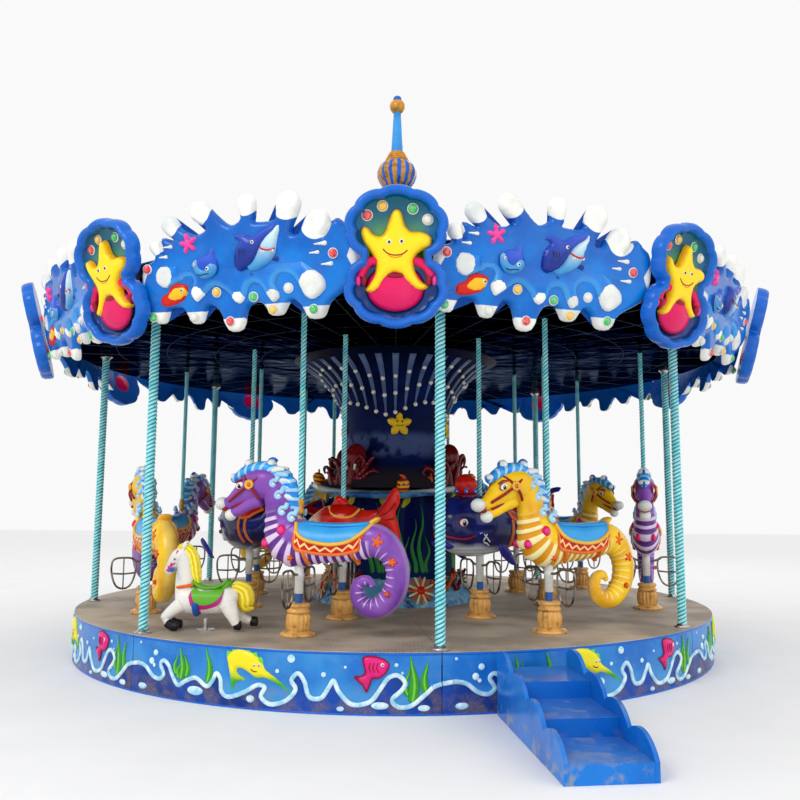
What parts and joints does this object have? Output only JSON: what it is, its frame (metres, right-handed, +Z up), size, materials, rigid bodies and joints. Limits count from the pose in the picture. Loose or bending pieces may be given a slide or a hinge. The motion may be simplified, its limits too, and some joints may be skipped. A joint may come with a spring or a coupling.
{
  "type": "merry go round",
  "caption": "Sea-themed carousel with rope-twist poles, rising seahorse, fish and whale riders, a shell and wave canopy, a spired roof and entrance steps.",
  "frame": {"origin": "on the rotation axis, at ground level", "axes": "+Z up along the rotation axis, -Y towards the front with the entrance steps, +X to the right seen from the front"},
  "size_m": [6.98, 7.9177, 5.75],
  "materials": {
    "steel_frame": "satin grey paint",
    "machine_steel": "machined",
    "drive_tyre": "moulded",
    "motor_paint": "semi-gloss blue enamel",
    "deck_plate": "worn chequer plate",
    "skirt_paint": "painted moulded resin, water and sea motifs",
    "step_paint": "worn bright blue paint",
    "rope_pole": "teal and white rope twist",
    "pedestal_gold": "gold-tan gel coat",
    "guide_blue": "blue enamel",
    "column_resin": "dark sea-blue painted resin",
    "ledge_resin": "pale painted wave",
    "ceiling_mirror": "polished stainless sheet",
    "roof_fabric": "blue coated sheet",
    "splash_resin": "azure gel coat with white tips",
    "shell_resin": "azure rim, teal inside, yellow star",
    "finial_gold": "gold and blue gel coat",
    "seahorse_purple": "violet gel coat",
    "seahorse_yellow": "yellow gel coat",
    "fish_red": "red gel coat",
    "whale_navy": "navy gel coat",
    "toddler_white": "white gel coat"
  },
  "bodies": {
    "base": {"ground_frame": "steel_frame", "slewing_ring": "machine_steel", "centre_mast": "steel_frame", "crown_wheel": "machine_steel", "drive_motor": "motor_paint", "entrance_steps": "step_paint", "step_side_boards": "step_paint"},
    "drive_wheel": {"drive_wheel": "drive_tyre"},
    "rotor": {"deck_frame": "steel_frame", "deck_plates": "deck_plate", "skirt_panels": "skirt_paint", "rim_poles": "rope_pole", "rider_pedestals": "pedestal_gold", "guide_tubes": "guide_blue", "column_tube": "steel_frame", "column_drum": "column_resin", "column_ledge": "ledge_resin", "column_crown": "column_resin", "canopy_frame": "steel_frame", "ceiling_panels": "ceiling_mirror", "crank_bearings": "machine_steel", "roof_skin": "roof_fabric", "splash_panels": "splash_resin", "shell_medallions": "shell_resin", "finial_base": "finial_gold", "finial_spire": "finial_gold", "toddler_post": "machine_steel", "toddler_horse": "toddler_white"},
    "crank_1": {"crankshaft_1": "machine_steel"},
    "seahorse_rider_1": {"seahorse_1": "seahorse_purple", "seahorse_pole_1": "rope_pole"},
    "fish_1": {"fish_rider_1": "fish_red"},
    "crank_2": {"crankshaft_2": "machine_steel"},
    "seahorse_rider_2": {"seahorse_2": "seahorse_yellow", "seahorse_pole_2": "rope_pole"},
    "whale_2": {"whale_rider_2": "whale_navy"},
    "crank_3": {"crankshaft_3": "machine_steel"},
    "seahorse_rider_3": {"seahorse_3": "seahorse_purple", "seahorse_pole_3": "rope_pole"},
    "fish_3": {"fish_rider_3": "fish_red"},
    "crank_4": {"crankshaft_4": "machine_steel"},
    "seahorse_rider_4": {"seahorse_4": "seahorse_yellow", "seahorse_pole_4": "rope_pole"},
    "whale_4": {"whale_rider_4": "whale_navy"},
    "crank_5": {"crankshaft_5": "machine_steel"},
    "seahorse_rider_5": {"seahorse_5": "seahorse_purple", "seahorse_pole_5": "rope_pole"},
    "fish_5": {"fish_rider_5": "fish_red"},
    "crank_6": {"crankshaft_6": "machine_steel"},
    "seahorse_rider_6": {"seahorse_6": "seahorse_yellow", "seahorse_pole_6": "rope_pole"},
    "whale_6": {"whale_rider_6": "whale_navy"},
    "crank_7": {"crankshaft_7": "machine_steel"},
    "seahorse_rider_7": {"seahorse_7": "seahorse_purple", "seahorse_pole_7": "rope_pole"},
    "fish_7": {"fish_rider_7": "fish_red"},
    "crank_8": {"crankshaft_8": "machine_steel"},
    "seahorse_rider_8": {"seahorse_8": "seahorse_yellow", "seahorse_pole_8": "rope_pole"},
    "whale_8": {"whale_rider_8": "whale_navy"}
  },
  "joints": [
    {"name": "rotor_spin", "type": "hinge", "parent": "base", "child": "rotor", "pos_m": [0, 0, 0], "axis": [0, 0, 1], "continuous": true},
    {"name": "drive_wheel_spin", "type": "hinge", "parent": "base", "child": "drive_wheel", "pos_m": [1.5, 0, 0.2147], "axis": [1, 0, 0], "continuous": true},
    {"name": "crank_1_spin", "type": "hinge", "parent": "rotor", "child": "crank_1", "pos_m": [-0.07384, -0.24929, 3.15], "axis": [-0.284, -0.9588, 0], "continuous": true},
    {"name": "seahorse_rider_1_rise", "type": "slide", "parent": "rotor", "child": "seahorse_rider_1", "axis": [0, 0, 1], "range_m": [-0.06, 0.18]},
    {"name": "fish_1_rise", "type": "slide", "parent": "rotor", "child": "fish_1", "axis": [0, 0, 1], "range_m": [-0.06, 0.18]},
    {"name": "crank_2_spin", "type": "hinge", "parent": "rotor", "child": "crank_2", "pos_m": [0.12406, -0.22849, 3.15], "axis": [0.4772, -0.8788, 0], "continuous": true},
    {"name": "seahorse_rider_2_rise", "type": "slide", "parent": "rotor", "child": "seahorse_rider_2", "axis": [0, 0, 1], "range_m": [-0.06, 0.18]},
    {"name": "whale_2_rise", "type": "slide", "parent": "rotor", "child": "whale_2", "axis": [0, 0, 1], "range_m": [-0.06, 0.18]},
    {"name": "crank_3_spin", "type": "hinge", "parent": "rotor", "child": "crank_3", "pos_m": [0.24929, -0.07384, 3.15], "axis": [0.9588, -0.284, 0], "continuous": true},
    {"name": "seahorse_rider_3_rise", "type": "slide", "parent": "rotor", "child": "seahorse_rider_3", "axis": [0, 0, 1], "range_m": [-0.06, 0.18]},
    {"name": "fish_3_rise", "type": "slide", "parent": "rotor", "child": "fish_3", "axis": [0, 0, 1], "range_m": [-0.06, 0.18]},
    {"name": "crank_4_spin", "type": "hinge", "parent": "rotor", "child": "crank_4", "pos_m": [0.22849, 0.12406, 3.15], "axis": [0.8788, 0.4772, 0], "continuous": true},
    {"name": "seahorse_rider_4_rise", "type": "slide", "parent": "rotor", "child": "seahorse_rider_4", "axis": [0, 0, 1], "range_m": [-0.06, 0.18]},
    {"name": "whale_4_rise", "type": "slide", "parent": "rotor", "child": "whale_4", "axis": [0, 0, 1], "range_m": [-0.06, 0.18]},
    {"name": "crank_5_spin", "type": "hinge", "parent": "rotor", "child": "crank_5", "pos_m": [0.07384, 0.24929, 3.15], "axis": [0.284, 0.9588, 0], "continuous": true},
    {"name": "seahorse_rider_5_rise", "type": "slide", "parent": "rotor", "child": "seahorse_rider_5", "axis": [0, 0, 1], "range_m": [-0.06, 0.18]},
    {"name": "fish_5_rise", "type": "slide", "parent": "rotor", "child": "fish_5", "axis": [0, 0, 1], "range_m": [-0.06, 0.18]},
    {"name": "crank_6_spin", "type": "hinge", "parent": "rotor", "child": "crank_6", "pos_m": [-0.12406, 0.22849, 3.15], "axis": [-0.4772, 0.8788, 0], "continuous": true},
    {"name": "seahorse_rider_6_rise", "type": "slide", "parent": "rotor", "child": "seahorse_rider_6", "axis": [0, 0, 1], "range_m": [-0.06, 0.18]},
    {"name": "whale_6_rise", "type": "slide", "parent": "rotor", "child": "whale_6", "axis": [0, 0, 1], "range_m": [-0.06, 0.18]},
    {"name": "crank_7_spin", "type": "hinge", "parent": "rotor", "child": "crank_7", "pos_m": [-0.24929, 0.07384, 3.15], "axis": [-0.9588, 0.284, 0], "continuous": true},
    {"name": "seahorse_rider_7_rise", "type": "slide", "parent": "rotor", "child": "seahorse_rider_7", "axis": [0, 0, 1], "range_m": [-0.06, 0.18]},
    {"name": "fish_7_rise", "type": "slide", "parent": "rotor", "child": "fish_7", "axis": [0, 0, 1], "range_m": [-0.06, 0.18]},
    {"name": "crank_8_spin", "type": "hinge", "parent": "rotor", "child": "crank_8", "pos_m": [-0.22849, -0.12406, 3.15], "axis": [-0.8788, -0.4772, 0], "continuous": true},
    {"name": "seahorse_rider_8_rise", "type": "slide", "parent": "rotor", "child": "seahorse_rider_8", "axis": [0, 0, 1], "range_m": [-0.06, 0.18]},
    {"name": "whale_8_rise", "type": "slide", "parent": "rotor", "child": "whale_8", "axis": [0, 0, 1], "range_m": [-0.06, 0.18]}
  ],
  "couplings": [
    {"joint": "drive_wheel_spin", "follows": "rotor_spin", "ratio": -16.667},
    {"joint": "crank_1_spin", "follows": "rotor_spin", "ratio": -4},
    {"joint": "crank_2_spin", "follows": "rotor_spin", "ratio": -4},
    {"joint": "crank_3_spin", "follows": "rotor_spin", "ratio": -4},
    {"joint": "crank_4_spin", "follows": "rotor_spin", "ratio": -4},
    {"joint": "crank_5_spin", "follows": "rotor_spin", "ratio": -4},
    {"joint": "crank_6_spin", "follows": "rotor_spin", "ratio": -4},
    {"joint": "crank_7_spin", "follows": "rotor_spin", "ratio": -4},
    {"joint": "crank_8_spin", "follows": "rotor_spin", "ratio": -4}
  ]
}
